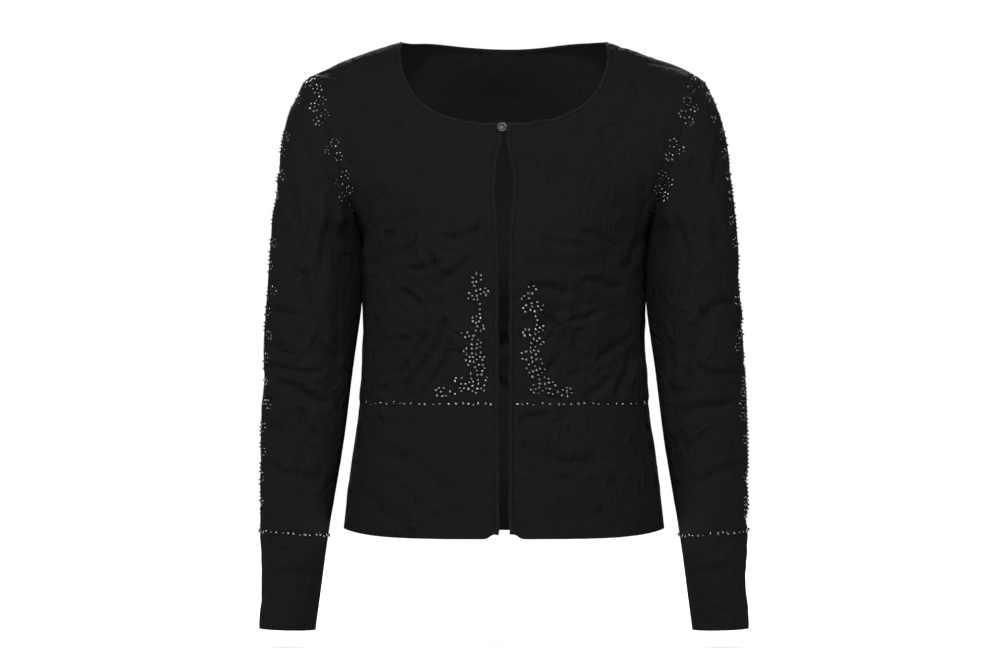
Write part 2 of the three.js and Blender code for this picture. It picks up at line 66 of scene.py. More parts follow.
# The garment's sizes
CLOTH = 1.1
WAIST_SEAM_Z = -387
HEM_FRONT_Z = -527
HEM_BACK_Z = -527
HEM_SIDE_Z = -519.5
HEM_CORNER = {"rise": 5, "wide": 5.5, "fade": 8}
HEM_BEND = 6
ROW_BEND = 2
UNDERARM = (153, 2, -203)
SHOULDER_TIP = (208, 2, -37.5)
ARMHOLE_HALF_DEPTH = 58
FRONT_NECK = {"half": 115.5, "drop": 93.8, "squareness": 2.45}
BACK_NECK = {
    "half": 112.5, "ridge_y": 4, "ridge_z": -1, "y": 61, "z": -8,
    "roundness": 2.2, "flatness": 6.5, "seam_fall": 1.6,
}
SHOULDER_SEAM_NECK_Z = -15
SHOULDER_ARCH = 1.7
NECK_BINDING_WIDE = 4
EDGE_BAND_WIDE = 5
HEM_GAP_HALF = 5
KEYHOLE = {"middle_z": -158, "half_height": 52, "extra_half": 4, "opens_over": 45}
NECK_GAP_HALF = 1.2
BUST = {"x": 84, "z": -192, "spread": 52, "full": 7}
CUFF_SEAM_AT = 0.83
CUFF_SEAM_HALF = 0.0003
SEAM_GAP = 0.3
SEAM_HALF = 0.02
SECTION_SQUARENESS = 2.2
NECK_ROW_ON_ARMHOLE = {"front": 0.58, "back": 0.74}
ARMHOLE_TURN = {"left": 0.62, "growth": 0.36}
RIDGE_AT = 0.8

# The torso by height: half the width at the side, and how far the centre front and back stand out
TORSO_COLUMNS = ("z", "half", "front", "back")
TORSO = [
    (-535, 173.5, 122, 120),
    (-455, 164, 114, 106),
    (-387, 154.5, 108, 95),
    (-325, 150.8, 114, 92),
    (-285, 151.6, 119.5, 95),
    (-235, 152.4, 125, 102.2),
    (-203, 153, 124, 107),
    (-150, 170, 108, 109),
    (-97, 155, 83, 101),
    (-50, 155, 58, 84),
    (-8, 155, 28, 61),
    (0, 155, 22, 54),
]

# The sleeve's rings: outermost and innermost points in the front view, half the depth, its middle
SLEEVE_COLUMNS = ("at", "out_x", "out_z", "in_x", "in_z", "deep", "y")
SLEEVE = [
    (0, 208.29, -37.6, 153.29, -203.1, 58, 2),
    (0.02, 213.8, -44.5, 153.4, -206, 58.8, 1.5),
    (0.05, 221, -58, 153.2, -211, 60, 0.5),
    (0.11, 231.5, -85, 153, -221, 61, -2),
    (0.19, 239.8, -127, 152.8, -237, 61, -6),
    (0.28, 245.5, -180, 152.6, -258, 60, -9.5),
    (0.37, 249.8, -237, 153, -284, 57, -12.5),
    (0.46, 253.5, -292, 156, -314, 54, -15),
    (0.56, 256.3, -352, 162, -358, 50.5, -18),
    (0.68, 258.3, -425, 171, -430, 46, -22),
    (0.83, 259.3, -521, 186.8, -526, 37.5, -28),
    (0.91, 258.2, -573, 193.5, -577, 34, -31),
    (1, 260.2, -625, 200, -626.5, 32.5, -35),
]

# The main folds, as soft troughs between two points of the front view. face: -1 front, 1 back.
FOLD_COLUMNS = ("face", "from_x", "from_z", "to_x", "to_z", "wide", "deep")
FOLDS = [
    (-1, 28, -238, 72, -245, 8, 1.7),
    (-1, 72, -245, 108, -232, 8, 1.7),
    (-1, 66, -322, 92, -374, 8, 2.0),
    (-1, 100, -312, 128, -290, 8, 1.7),
    (-1, -54, -252, -70, -290, 8, 1.6),
    (-1, -46, -330, -68, -364, 8, 1.8),
    (-1, -112, -230, -78, -218, 8, 1.5),
    (-1, -134, -276, -137, -330, 8, 2.6),
    (-1, 90, -452, 158, -482, 9, 1.3),
    (-1, -216, -250, -196, -304, 10, 6.5),
    (-1, -196, -304, -170, -356, 10, 6.5),
    (-1, 216, -296, 200, -330, 10, 5.0),
    (-1, 200, -330, 182, -376, 10, 6.0),
    (-1, -173, -212, -166, -330, 19, 9.0),
    (-1, 172, -212, 166, -340, 19, 9.0),
    (-1, -252, -326, -208, -336, 8, 3.0),
    (-1, -242, -410, -214, -446, 8, 3.0),
    (-1, 212, -420, 222, -446, 8, 3.0),
    (1, 60, -300, 120, -330, 14, 2.2),
    (1, -60, -310, -118, -290, 14, 2.2),
    (1, -200, -300, -232, -350, 13, 3.4),
    (1, 204, -310, 236, -340, 13, 3.4),
]

# The smaller creases, in the same columns
CREASES = [
    (-1, -118, -380, -86, -312, 4.5, 0.8),
    (-1, -100, -384, -64, -300, 5, 0.9),
    (-1, -82, -382, -56, -322, 4, 0.7),
    (-1, -126, -372, -112, -330, 4, 0.6),
    (-1, -60, -214, -28, -206, 5, 0.9),
    (-1, -88, -196, -44, -184, 5, 0.7),
    (-1, -120, -206, -96, -186, 4, 0.6),
    (-1, -66, -262, -40, -236, 5, 0.9),
    (-1, -104, -268, -80, -300, 5, 0.8),
    (-1, -34, -218, -22, -196, 4, 0.7),
    (-1, -96, -246, -70, -240, 4, 0.8),
    (-1, -142, -240, -122, -210, 5, 1.0),
    (-1, 84, -206, 118, -218, 4, 0.8),
    (-1, 44, -214, 80, -222, 4, 0.8),
    (-1, 30, -262, 64, -270, 5, 0.9),
    (-1, 88, -258, 122, -262, 5, 0.8),
    (-1, 102, -340, 128, -318, 4.5, 0.8),
    (-1, 74, -300, 100, -290, 4, 0.7),
    (-1, 44, -286, 62, -318, 4.5, 0.7),
    (-1, 86, -384, 108, -362, 4.5, 0.9),
    (-1, 122, -378, 136, -330, 5, 0.9),
    (-1, 128, -240, 146, -212, 5, 1.0),
    (-1, 18, -406, 44, -396, 5, 0.7),
    (-1, 24, -434, 90, -452, 7, 0.9),
    (-1, -120, -440, -60, -470, 9, 0.6),
    (-1, -150, -486, -110, -508, 8, 0.6),
    (-1, -228, -120, -224, -210, 6, 0.9),
    (-1, -206, -110, -204, -230, 7, 0.9),
    (-1, -186, -170, -190, -262, 6, 0.9),
    (-1, 226, -110, 224, -220, 6, 0.9),
    (-1, 204, -130, 206, -240, 7, 0.9),
    (-1, 184, -190, 190, -270, 6, 0.9),
    (-1, -244, -286, -206, -300, 6, 1.1),
    (-1, -252, -350, -196, -352, 5, 1.0),
    (-1, -236, -366, -190, -384, 6, 1.2),
    (-1, -246, -452, -200, -470, 6, 0.9),
    (-1, -216, -396, -200, -420, 5, 0.9),
    (-1, -244, -566, -210, -568, 6, 0.7),
    (-1, 244, -276, 212, -290, 6, 1.0),
    (-1, 250, -356, 206, -350, 5, 1.0),
    (-1, 240, -384, 196, -396, 6, 1.2),
    (-1, 244, -452, 210, -468, 6, 0.9),
    (-1, 236, -560, 208, -566, 6, 0.7),
    (1, -110, -200, -60, -222, 8, 1.2),
    (1, 110, -196, 66, -226, 8, 1.2),
    (1, -130, -330, -80, -360, 8, 1.3),
    (1, 126, -350, 84, -370, 8, 1.3),
    (1, -40, -330, 30, -322, 9, 1.2),
    (1, -30, -366, 50, -372, 7, 1.0),
    (1, 80, -430, 130, -470, 9, 1.0),
    (1, -70, -440, -120, -480, 9, 1.0),
    (1, -216, -150, -210, -250, 7, 1.0),
    (1, 216, -150, 212, -250, 7, 1.0),
    (1, -244, -390, -204, -410, 6, 1.2),
    (1, 244, -380, 206, -402, 6, 1.2),
]

CREASE_DEPTH = 4.2
SEAM_FADE = 7
EDGE_WAVE = 0.45

# Steps of each shell: across or round, and up or along
FRONT_STEPS = (100, 80, 50, 56)
SLEEVE_STEPS = (110, 210, 40)


def smoothly(table, columns, key, column, place):
    """A column of a table at a place along its key column, on a smooth curve."""
    k, c = columns.index(key), columns.index(column)
    last = len(table) - 1
    i = 0
    while i < last - 1 and place > table[i + 1][k]:
        i += 1

    def slope(j):
        a, b = table[max(j - 1, 0)], table[min(j + 1, last)]
        return (b[c] - a[c]) / (b[k] - a[k])

    step = table[i + 1][k] - table[i][k]
    t = (place - table[i][k]) / step
    return (
        (2 * t**3 - 3 * t**2 + 1) * table[i][c]
        + (t**3 - 2 * t**2 + t) * step * slope(i)
        + (3 * t**2 - 2 * t**3) * table[i + 1][c]
        + (t**3 - t**2) * step * slope(i + 1)
    )


def between(a, b, t):
    return a + (b - a) * t


def smooth_step(t):
    c = np.clip(t, 0, 1)
    return c * c * (3 - 2 * c)


def opening_half(z):
    """Half the gap between the fronts: nearly closed at the button, bowed below it, then even."""
    bow = max(0.0, 1 - ((z - KEYHOLE["middle_z"]) / KEYHOLE["half_height"]) ** 2)
    opened = float(smooth_step((-FRONT_NECK["drop"] - z) / KEYHOLE["opens_over"]))
    return between(NECK_GAP_HALF, HEM_GAP_HALF, opened) + KEYHOLE["extra_half"] * bow * bow


def front_edge_x(z):
    return opening_half(z) + EDGE_BAND_WIDE + SEAM_GAP


def front_neck(t):
    """(x, z) of the front neckline, from the neck point (0) to the shoulder seam (1)."""
    power = 2 / FRONT_NECK["squareness"]
    rise = -SHOULDER_SEAM_NECK_Z / FRONT_NECK["drop"]
    angle = math.acos(rise ** (1 / power)) * t
    start = front_edge_x(-FRONT_NECK["drop"])
    wide = (FRONT_NECK["half"] - start) * math.sin(angle) ** power
    return start + wide, -FRONT_NECK["drop"] * math.cos(angle) ** power


def back_neck(t):
    """The back neckline from the centre back (0) over the shoulder line to the seam (1)."""
    n = BACK_NECK
    if t <= RIDGE_AT:
        angle = t / RIDGE_AT * math.pi / 2
        power = 2 / n["roundness"]
        back = max(math.cos(angle), 0.0) ** power
        return (
            n["half"] * math.sin(angle) ** power,
            between(n["ridge_y"], n["y"], back),
            between(n["ridge_z"], n["z"], back ** n["flatness"]),
        )
    over = (t - RIDGE_AT) / (1 - RIDGE_AT)
    seam = torso_at(row_of(4, -1), front_neck(1)[0])
    return (
        between(n["half"], seam[0], over),
        between(n["ridge_y"], seam[1], over),
        between(n["ridge_z"], seam[2], over ** n["seam_fall"]),
    )


def armhole(t, face):
    """A point of the armhole, from the underarm (0) to the shoulder tip (1)."""
    rise = (1 - math.cos(math.pi * t)) / 2
    x, y, z = (between(a, b, rise) for a, b in zip(UNDERARM, SHOULDER_TIP))
    return (x, y + face * ARMHOLE_HALF_DEPTH * math.sin(math.pi * t), z)


def left_at_armhole(t, out=None, depth=None):
    """How much of a row's turn is left there: low down the body's own rounding goes on."""
    if t >= 0.5:
        return ARMHOLE_TURN["left"] + ARMHOLE_TURN["growth"] * (t - 0.5)
    on_body = (out[1] - UNDERARM[1]) / (depth - UNDERARM[1])
    return between(on_body, ARMHOLE_TURN["left"] * math.sin(math.pi * t), smooth_step(2 * t))


def hem_corner(level):
    """How far the front corner of the hem is lifted at a level of the lower front."""
    return HEM_CORNER["rise"] * (1 - level) ** HEM_CORNER["fade"]


def row_of(level, face):
    """A row of the torso at a level: 0 hem, 1 waist seam, 2 underarm, 3 neck point, 4 shoulder seam."""
    front = face < 0
    column = "front" if front else "back"

    def depth_at(z):
        return face * smoothly(TORSO, TORSO_COLUMNS, "z", column, z)

    top_z = -FRONT_NECK["drop"] if front else BACK_NECK["z"]
    if level <= 2:
        hem_z = HEM_FRONT_Z if front else HEM_BACK_Z
        if level <= 1:
            z = between(hem_z, WAIST_SEAM_Z, level)
            out_z = between(HEM_SIDE_Z, WAIST_SEAM_Z, level)
        else:
            z = out_z = between(WAIST_SEAM_Z, UNDERARM[2], level - 1)
        half = smoothly(TORSO, TORSO_COLUMNS, "z", "half", out_z)
        return {
            "depth": depth_at(z),
            "z": z,
            "out": (half, UNDERARM[1], out_z),
            "left": 0.0,
            "in_x": front_edge_x(z) if front else 0.0,
            "bend": HEM_BEND if level <= 1 else ROW_BEND,
            "corner": hem_corner(level) if front and level <= 1 else 0,
        }
    neck_row = NECK_ROW_ON_ARMHOLE[column]
    if level <= 3:
        around = neck_row * (level - 2)
        z = between(UNDERARM[2], top_z, (1 - math.cos(math.pi * (level - 2))) / 2)
        out = armhole(around, face)
        depth = depth_at(z)
        return {
            "depth": depth,
            "z": z,
            "out": out,
            "left": left_at_armhole(around, out, depth),
            "in_x": front_edge_x(z) if front else 0.0,
        }
    around = between(neck_row, 1, level - 3)
    row = {"out": armhole(around, face), "left": left_at_armhole(around)}
    if front:
        row["in_x"], neck_z = front_neck(level - 3)
        neck_y = None
    else:
        row["in_x"], neck_y, neck_z = back_neck(level - 3)
    share = (row["in_x"] / row["out"][0]) ** 2
    row["z"] = (neck_z - row["out"][2] * share) / (1 - share)
    row["arch"] = SHOULDER_ARCH * float(smooth_step(level - 3))
    if front:
        row["depth"] = depth_at(row["z"])
    else:
        row["depth"] = row["out"][1] + (neck_y - row["out"][1]) / turn_at(row, row["in_x"])[1]
    return row


def reach_of(row):
    n = SECTION_SQUARENESS
    return (1 - row["left"] ** n) ** (1 / n)


def turn_at(row, x):
    """How far round a row is at x, and the share of its depth there."""
    n = SECTION_SQUARENESS
    angle = np.arcsin(np.minimum((reach_of(row) * x / row["out"][0]) ** (n / 2), 1))
    height = (np.maximum(np.cos(angle), 0) ** (2 / n) - row["left"]) / (1 - row["left"])
    return angle, height


def torso_at(row, x):
    """The points of a row at the distances x from the centre."""
    out = row["out"]
    y = out[1] + (row["depth"] - out[1]) * turn_at(row, x)[1]
    beyond = (x - row.get("in_x", 0)) / HEM_CORNER["wide"]
    corner = row.get("corner", 0) * np.exp(-beyond * beyond)
    z = row["z"] + (out[2] - row["z"]) * (x / out[0]) ** row.get("bend", ROW_BEND) + corner
    if "arch" in row:
        share = np.maximum((x - row["in_x"]) / (out[0] - row["in_x"]), 0)
        z = z + row["arch"] * np.sin(math.pi * np.minimum(share, 1) ** 3)
    if row["depth"] < 0:
        away = np.hypot(x - BUST["x"], z - BUST["z"]) / BUST["spread"]
        y = y - BUST["full"] * np.exp(-away * away) * (1 - x / out[0]) * 2
    return np.stack(np.broadcast_arrays(x, y, z), axis=-1).astype(float)


def torso_row(us, level, face):
    """The points of the torso's form at the places us of a level, on the half at +X."""
    row = row_of(level, face)
    start = turn_at(row, row["in_x"])[0]
    end = turn_at(row, row["out"][0])[0]
    angles = start + (end - start) * np.asarray(us)
    x = row["out"][0] * np.sin(angles) ** (2 / SECTION_SQUARENESS) / reach_of(row)
    return torso_at(row, x)


def sleeve_ring(turns, at):
    """The points of the sleeve's form round one ring: turn 0 underarm, 0.25 front, 0.5 outside."""
    v = {c: smoothly(SLEEVE, SLEEVE_COLUMNS, "at", c, at) for c in SLEEVE_COLUMNS[1:]}
    angle = 2 * math.pi * np.asarray(turns)
    rise = (1 - np.cos(angle)) / 2
    return np.stack(
        [
            between(v["in_x"], v["out_x"], rise),
            v["y"] - v["deep"] * np.sin(angle),
            between(v["in_z"], v["out_z"], rise),
        ],
        axis=-1,
    )


def normals_of(grid, outward, closed):
    """Outward normals of a grid of points, rows first."""
    if closed:
        ring = np.concatenate([grid[:, -2:-1], grid, grid[:, 1:2]], axis=1)
        across = (ring[:, 2:] - ring[:, :-2]) / 2
    else:
        across = np.gradient(grid, axis=1)
    up = np.gradient(grid, axis=0)
    n = np.cross(across, up) * outward
    length = np.linalg.norm(n, axis=-1, keepdims=True)
    return n / np.maximum(length, 1e-9)


def trough(points, normals, row):
    """How deep one fold is at each point. Its ends fade, and it meanders a little."""
    fold = dict(zip(FOLD_COLUMNS, row))
    from_x, from_z = fold["from_x"], fold["from_z"]
    facing = smooth_step(fold["face"] * normals[..., 1] * 1.6)
    run = np.array([fold["to_x"] - from_x, fold["to_z"] - from_z], float)
    length = np.hypot(*run)
    away_x, away_z = points[..., 0] - from_x, points[..., 2] - from_z
    along = (away_x * run[0] + away_z * run[1]) / length**2
    side = (away_x * run[1] - away_z * run[0]) / length
    side = side + 0.05 * length * np.sin(along * 5.1 + from_x * 0.37)
    past = np.maximum(np.maximum(-along, along - 1), 0) * length
    spread = np.hypot(side, past) / fold["wide"]
    soft = np.exp(-(spread**2))
    sharp = np.exp(-2.6 * spread)
    ridge = np.exp(-((spread - 1.7) ** 2) * 3)
    return facing * fold["deep"] * (0.62 * soft + 0.5 * sharp - 0.3 * ridge)


def crinkle(points, seed, amount, size):
    """Small uneven buckling of the cloth: soft swellings between thin creases."""
    flat = points.reshape(-1, 3)
    found = np.empty(len(flat))
    for i, (x, y, z) in enumerate(flat):
        p = Vector((x / size[0] + seed, y / size[0], z / size[1]))
        bent = p + 0.35 * noise.noise_vector(p * 0.8)
        creased = max(noise.noise(bent * 0.45 + Vector((9, 4, seed))) + 0.35, 0.08)
        found[i] = creased * noise.ridged_multi_fractal(bent, 0.9, 2.1, 3, 1.0, 1.6)
    return amount * found.reshape(points.shape[:-1])


def to_side_seam(grid):
    """How far each point of a torso grid is from the outer end of its row."""
    step = np.linalg.norm(np.diff(grid, axis=1), axis=-1)
    left = np.cumsum(step[:, ::-1], axis=1)[:, ::-1]
    return np.concatenate([left, np.zeros((len(grid), 1))], axis=1)


def from_ends(grid):
    """How far each point of a grid is from the nearer end of its column."""
    step = np.linalg.norm(np.diff(grid, axis=0), axis=-1)
    gone = np.concatenate([np.zeros((1, grid.shape[1])), np.cumsum(step, axis=0)])
    return np.minimum(gone, gone[-1] - gone)


# The size of the buckling across and along a part
TORSO_CRINKLE = (30, 26)
SLEEVE_CRINKLE = (26, 34)
# The sleeves lean on the body from the underarm down to the waist.
TOUCH = {"z": -245, "tall": 55, "deep": 1.3, "wide": 0.1}
# Beside the body a sleeve may bulge out or fold in only so far.
SLEEVE_BULGE = {"most": 2, "steep": 4, "clear": 0.2}
SLEEVE_FOLD = {"least": 0.1, "most": 9, "steep": 6}


def shaped(grid, outward, closed, seed, amount, size):
    """A grid of the form with its folds, creases and buckling, which fade towards its seams."""
    normals = normals_of(grid, outward, closed)
    deep = np.zeros(grid.shape[:-1])
    for row in FOLDS:
        deep = np.maximum(deep, trough(grid, normals, row))
    for row in CREASES:
        deep = deep + CREASE_DEPTH * trough(grid, normals, row)
    buckled = crinkle(grid, seed, amount, size)
    deep = (deep + buckled - buckled.mean()) * smooth_step(from_ends(grid) / SEAM_FADE)
    if closed:
        free = np.linspace(0, 1, grid.shape[1])
        beside = np.minimum(free, 1 - free)
        bulge = smooth_step(SLEEVE_BULGE["steep"] * beside - SLEEVE_BULGE["clear"])
        deep = np.maximum(deep, -SLEEVE_BULGE["most"] * bulge)
        fold = SLEEVE_FOLD["most"] * smooth_step(SLEEVE_FOLD["steep"] * beside)
        deep = np.minimum(deep, SLEEVE_FOLD["least"] + fold)
        level = np.exp(-(((grid[..., 2] - TOUCH["z"]) / TOUCH["tall"]) ** 4))
        deep = deep - TOUCH["deep"] * level * np.exp(-((beside / TOUCH["wide"]) ** 2))
        deep[:, -1] = deep[:, 0]
    else:
        deep = deep * smooth_step(to_side_seam(grid) / SEAM_FADE)
    return grid - normals * deep[..., None]


def material(name):
    m = bpy.data.materials.new(name)
    m.use_nodes = True
    return m, m.node_tree.nodes["Principled BSDF"]


def add(tree, kind, **values):
    node = tree.nodes.new(kind)
    for name, value in values.items():
        if hasattr(node, name):
            setattr(node, name, value)
    return node


# Fine jersey: stitches, faint ribs and fine crumpling as bump
def jersey(name, base, crumpled=1.0):
    m, surface = material(name)
    tree = m.node_tree
    link = tree.links.new
    surface.inputs["Base Color"].default_value = (*base, 1)
    surface.inputs["Roughness"].default_value = 0.95
    surface.inputs["Specular IOR Level"].default_value = 0.05
    surface.inputs["Sheen Weight"].default_value = 0.004
    surface.inputs["Sheen Roughness"].default_value = 0.4
    coords = add(tree, "ShaderNodeTexCoord")

    def noise_of(scale, detail, kind="FBM", distortion=0.0):
        stretch = add(tree, "ShaderNodeMapping")
        stretch.inputs["Scale"].default_value = scale
        link(coords.outputs["Object"], stretch.inputs["Vector"])
        found = add(tree, "ShaderNodeTexNoise", noise_type=kind)
        found.inputs["Scale"].default_value = 1
        found.inputs["Detail"].default_value = detail
        found.inputs["Distortion"].default_value = distortion
        link(stretch.outputs["Vector"], found.inputs["Vector"])
        return found.outputs[0]

    def bump(height, strength, distance, before):
        node = add(tree, "ShaderNodeBump")
        node.inputs["Strength"].default_value = strength
        node.inputs["Distance"].default_value = distance
        link(height, node.inputs["Height"])
        if before is not None:
            link(before, node.inputs["Normal"])
        return node.outputs["Normal"]

    stitches = bump(noise_of((1100, 500, 420), 1), 0.8, 0.0009, None)
    ribs = bump(noise_of((230, 90, 16), 1), 0.8, 0.0024, stitches)
    where = add(tree, "ShaderNodeMapRange")
    where.inputs["From Min"].default_value = 0.42
    where.inputs["From Max"].default_value = 0.66
    where.inputs["To Min"].default_value = 0.25
    where.inputs["To Max"].default_value = 1.0
    link(noise_of((13, 13, 10), 1), where.inputs["Value"])
    creased = add(tree, "ShaderNodeMath", operation="MULTIPLY")
    link(noise_of((62, 62, 50), 3, "RIDGED_MULTIFRACTAL", 0.7), creased.inputs[0])
    link(where.outputs["Result"], creased.inputs[1])
    link(bump(creased.outputs[0], crumpled, 0.0065, ribs), surface.inputs["Normal"])
    return m


body_cloth = jersey("body_cloth", (0.0102, 0.0102, 0.0115), crumpled=1.1)
# The inside of the cloth has a lighter base than the outside: painted light for the light that reaches
# inside the garment.
inner_cloth = jersey("inner_cloth", (0.0124, 0.0124, 0.014), crumpled=0.4)
trim_cloth = jersey("trim_cloth", (0.0118, 0.0118, 0.0132), crumpled=0.2)
jet, jet_surface = material("jet_bead")
jet_surface.inputs["Base Color"].default_value = (0.03, 0.03, 0.034, 1)
jet_surface.inputs["Roughness"].default_value = 0.12
jet_surface.inputs["Specular IOR Level"].default_value = 0.9
jet_surface.inputs["Coat Weight"].default_value = 0.6
metal, metal_surface = material("steel_rim")
metal_surface.inputs["Base Color"].default_value = (0.16, 0.16, 0.165, 1)
metal_surface.inputs["Metallic"].default_value = 1
metal_surface.inputs["Roughness"].default_value = 0.34
bead_glass, bead_surface = material("bead_glass")
bead_surface.inputs["Base Color"].default_value = (0.24, 0.24, 0.25, 1)
bead_surface.inputs["Metallic"].default_value = 1
bead_surface.inputs["Roughness"].default_value = 0.09
pearl, pearl_surface = material("pearl_dome")
pearl_surface.inputs["Base Color"].default_value = (0.03, 0.03, 0.033, 1)
pearl_surface.inputs["Metallic"].default_value = 0.2
pearl_surface.inputs["Roughness"].default_value = 0.42
thread, thread_surface = material("thread")
thread_surface.inputs["Base Color"].default_value = (0.02, 0.02, 0.022, 1)
thread_surface.inputs["Roughness"].default_value = 0.7


def object_of(bm, name, mat):
    mesh = bpy.data.meshes.new(name)
    bm.to_mesh(mesh)
    bm.free()
    for p in mesh.polygons:
        p.use_smooth = True
    o = bpy.data.objects.new(name, mesh)
    bpy.context.scene.collection.objects.link(o)
    mesh.materials.append(mat)
    return o


def grid_mesh(points, flip, closed=False, mirrored=None):
    """A mesh of a grid of points in millimetres, and of a second grid that it is welded to."""
    bm = bmesh.new()
    for grid, turned in [(points, flip)] + ([(mirrored, not flip)] if mirrored is not None else []):
        rows, columns = grid.shape[:2]
        made = bmesh.ops.create_grid(bm, x_segments=columns - 1, y_segments=rows - 1, size=1)
        verts = made["verts"]
        for v in verts:
            i = round((v.co.x + 1) / 2 * (columns - 1))
            j = round((v.co.y + 1) / 2 * (rows - 1))
            v.co = grid[j, i] * MM
        if turned:
            faces = {f for v in verts for f in v.link_faces}
            bmesh.ops.reverse_faces(bm, faces=list(faces))
    if closed or mirrored is not None:
        bmesh.ops.remove_doubles(bm, verts=bm.verts, dist=1e-6)
    return bm


def shell(name, node, bm):
    """A thin shell of cloth that stands for a CAD piece."""
    for e in bm.edges:
        e.smooth = not e.is_boundary
    o = object_of(bm, name, body_cloth)
    thick = o.modifiers.new("thickness", "SOLIDIFY")
    thick.thickness = CLOTH * MM
    thick.offset = -1
    thick.use_even_offset = False
    # The inner face takes the lighter inner cloth, which is painted light.
    o.data.materials.append(inner_cloth)
    thick.material_offset = 1
    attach(o, "root")
    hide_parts(node)


def side_of(point, side):
    """A point of the half at +X, on the side asked for: 1 the wearer's left, -1 the right."""
    return (point[0] * side, point[1], point[2])


def levels_of(parts):
    found = []
    for start, end, steps in parts:
        found += list(np.linspace(start, end, steps + 1))[1 if found else 0 :]
    return found


OUTER_U = 1 - SEAM_HALF / 180
BAND_TOP = 1 - SEAM_HALF / (WAIST_SEAM_Z - HEM_FRONT_Z)
UPPER_BOTTOM = 1 + SEAM_HALF / (UNDERARM[2] - WAIST_SEAM_Z)
SHOULDER_TOP = 4 - SEAM_HALF / 100


def torso_grid(levels, face, side, seed, amount):
    us = np.linspace(0, OUTER_U, FRONT_STEPS[0] + 1)
    grid = np.array([torso_row(us, level, face) for level in levels])
    if face < 0:
        for row, level in zip(grid, levels):
            z = row[0, 2]
            wave = math.sin(z / 7.3 + seed) + math.sin(z / 3.9 + 2 * side)
            near = np.exp(-((row[:, 0] - row[0, 0]) / 9) ** 2)
            row[:, 0] += EDGE_WAVE * wave * near * float(smooth_step((2.8 - level) * 4))
    grid[..., 0] *= side
    outward = side * (1 if face < 0 else -1)
    return shaped(grid, outward, False, seed, amount, TORSO_CRINKLE)


# How deep the buckling is on each part
CRINKLED = {"front": 3.8, "band": 1.8, "sleeve": 3.8, "cuff": 1.8, "back": 2.6, "back_band": 1.6}
UPPER = levels_of([(UPPER_BOTTOM, 2, FRONT_STEPS[1]), (0, 1, FRONT_STEPS[2]), (3, SHOULDER_TOP, 44)])
for j in range(FRONT_STEPS[1] + 1, FRONT_STEPS[1] + FRONT_STEPS[2] + 1):
    UPPER[j] = 2 + math.acos(1 - 2 * UPPER[j]) / math.pi
BAND = levels_of([(0, BAND_TOP, FRONT_STEPS[3])])

fronts = {}
for word, side, seed in (("left", 1, 3.1), ("right", -1, 11.7)):
    upper = torso_grid(UPPER, -1, side, seed, CRINKLED["front"])
    mesh = grid_mesh(upper, side < 0)
    bound = [f"bound_edge_{word}"]
    shell(f"cloth_front_{word}", f"front_{word}", mesh)
    band = torso_grid(BAND, -1, side, seed, CRINKLED["band"])
    shell(f"cloth_front_band_{word}", f"front_band_{word}", grid_mesh(band, side < 0))
    fronts[side] = (upper, band)
    turns = np.linspace(0, 1, SLEEVE_STEPS[0] + 1)
    for part, start, end, steps, flat, area in (
        ("sleeve", 0, CUFF_SEAM_AT - CUFF_SEAM_HALF, SLEEVE_STEPS[1], (0.38, 0.5), 0.13),
        ("cuff", CUFF_SEAM_AT + CUFF_SEAM_HALF, 1, SLEEVE_STEPS[2], (0.23, 0.104), None),
    ):
        grid = np.array([sleeve_ring(turns, at) for at in np.linspace(start, end, steps + 1)])
        grid[..., 0] *= side
        made = shaped(grid, -side, True, seed + 9, CRINKLED[part], SLEEVE_CRINKLE)
        bm = grid_mesh(made, side > 0, closed=True)
        shell(f"cloth_{part}_{word}", f"{part}_{word}", bm)

backs = {}
for name, levels, flat, area, bound in (
    ("back", UPPER, (0.44, 0.42), 0.155, ["bound_neck"]),
    ("back_band", BAND, (0.45, 0.14), None, []),
):
    halves = [torso_grid(levels, 1, side, 21.3, CRINKLED[name]) for side in (1, -1)]
    for j, level in enumerate(levels):
        if level <= 3:
            middle = (halves[0][j, 0] + halves[1][j, 0]) / 2
            middle[0] = 0
            halves[0][j, 0] = halves[1][j, 0] = middle
    backs[name] = halves
    mesh = grid_mesh(halves[0], True, mirrored=halves[1])
    shell(f"cloth_{name}", name, mesh)


# A folded edge all round, as [share of its width, out of the cloth]: a groove, a ridge, a soft lip
FOLDED_EDGE = [
    (0.0, -1.6), (0.0, -0.75), (0.1, -0.55), (0.24, 0.25), (0.38, 0.75), (0.55, 0.8), (0.72, 0.45),
    (0.86, 0.05), (0.96, -0.35), (1.0, -0.8), (0.96, -1.4), (0.85, -1.8), (0.5, -1.9), (0.15, -1.9),
]


def bar_profile(wide, gap=0.05):
    return [(gap + wide * share, out) for share, out in FOLDED_EDGE]


def swept(edges, towards, profile, out_sign):
    """A bar swept along edges of the cloth. towards: the direction away from the cloth there."""
    places = np.array(edges, float)
    away = np.array(towards, float)
    run = np.gradient(places, axis=0)
    run /= np.linalg.norm(run, axis=1, keepdims=True)
    across = away - run * (away * run).sum(1, keepdims=True)
    across /= np.linalg.norm(across, axis=1, keepdims=True)
    out = np.cross(run, across) * out_sign
    rings = [places + across * w + out * h for w, h in profile]
    return np.stack(rings + rings[:1], axis=1)


def bar(name, node, points, flip, mat):
    bm = grid_mesh(points, flip, closed=True)
    bmesh.ops.holes_fill(bm, edges=bm.edges, sides=0)
    bmesh.ops.recalc_face_normals(bm, faces=bm.faces)
    o = object_of(bm, name, mat)
    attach(o, "root")
    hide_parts(node)


def smoothed(points, times=2):
    points = np.array(points, float)
    for _ in range(times):
        points[1:-1] = (points[:-2] + 2 * points[1:-1] + points[2:]) / 4
    return points


